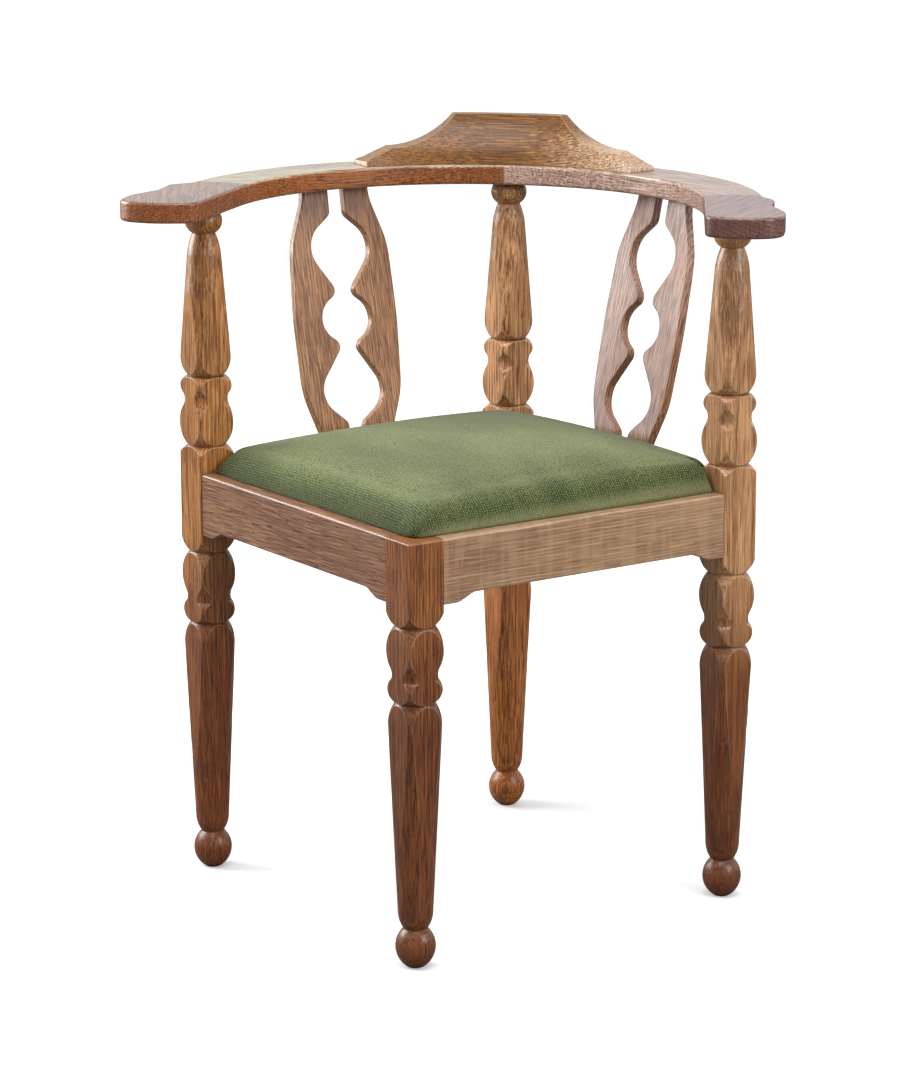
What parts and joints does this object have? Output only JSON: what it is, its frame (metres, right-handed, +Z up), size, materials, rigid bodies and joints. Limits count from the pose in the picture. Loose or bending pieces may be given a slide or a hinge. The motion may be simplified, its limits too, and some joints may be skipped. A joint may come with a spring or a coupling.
{
  "type": "corner chair",
  "caption": "Square corner armchair in oak with turned posts, a horseshoe arm with a crest block, pierced back slats and a drop-in upholstered seat.",
  "frame": {"origin": "on the floor, below the middle of the square seat frame, which lies within 4 mm of the middle of the box round the whole chair", "axes": "+Z up, -Y ahead, over the corner where the front leg stands, +X to the right of a viewer who looks along +Y"},
  "size_m": [0.6652, 0.5992, 0.773],
  "materials": {
    "turned_oak": "satin waxed oak, turned",
    "rail_oak": "satin waxed oak with ray fleck",
    "arm_oak": "satin waxed oak",
    "crest_oak": "satin waxed oak",
    "slat_oak": "satin waxed oak",
    "block_wood": "raw sawn wood",
    "dowel_wood": "raw round wood",
    "screw_steel": "plain steel",
    "seat_plywood": "raw plywood",
    "seat_foam": "soft upholstery foam",
    "seat_fabric": "fine ribbed green weave"
  },
  "bodies": {
    "frame": {"front_leg": "turned_oak", "right_post": "turned_oak", "back_post": "turned_oak", "left_post": "turned_oak", "front_left_rail": "rail_oak", "front_right_rail": "rail_oak", "back_right_rail": "rail_oak", "back_left_rail": "rail_oak", "front_corner_block": "block_wood", "right_corner_block": "block_wood", "back_corner_block": "block_wood", "left_corner_block": "block_wood", "block_screws": "screw_steel", "left_arm_hand": "arm_oak", "right_arm_hand": "arm_oak", "left_arm_arc": "arm_oak", "right_arm_arc": "arm_oak", "arm_dowels": "dowel_wood", "crest_block": "crest_oak", "crest_dowels": "dowel_wood", "left_inner_slat": "slat_oak", "left_outer_slat": "slat_oak", "right_inner_slat": "slat_oak", "right_outer_slat": "slat_oak"},
    "drop_in_seat": {"seat_board": "seat_plywood", "seat_foam": "seat_foam", "seat_cover": "seat_fabric"}
  },
  "joints": [
    {"name": "seat_lift", "type": "slide", "parent": "frame", "child": "drop_in_seat", "axis": [0, 0, 1], "range_m": [0, 0.15]}
  ]
}
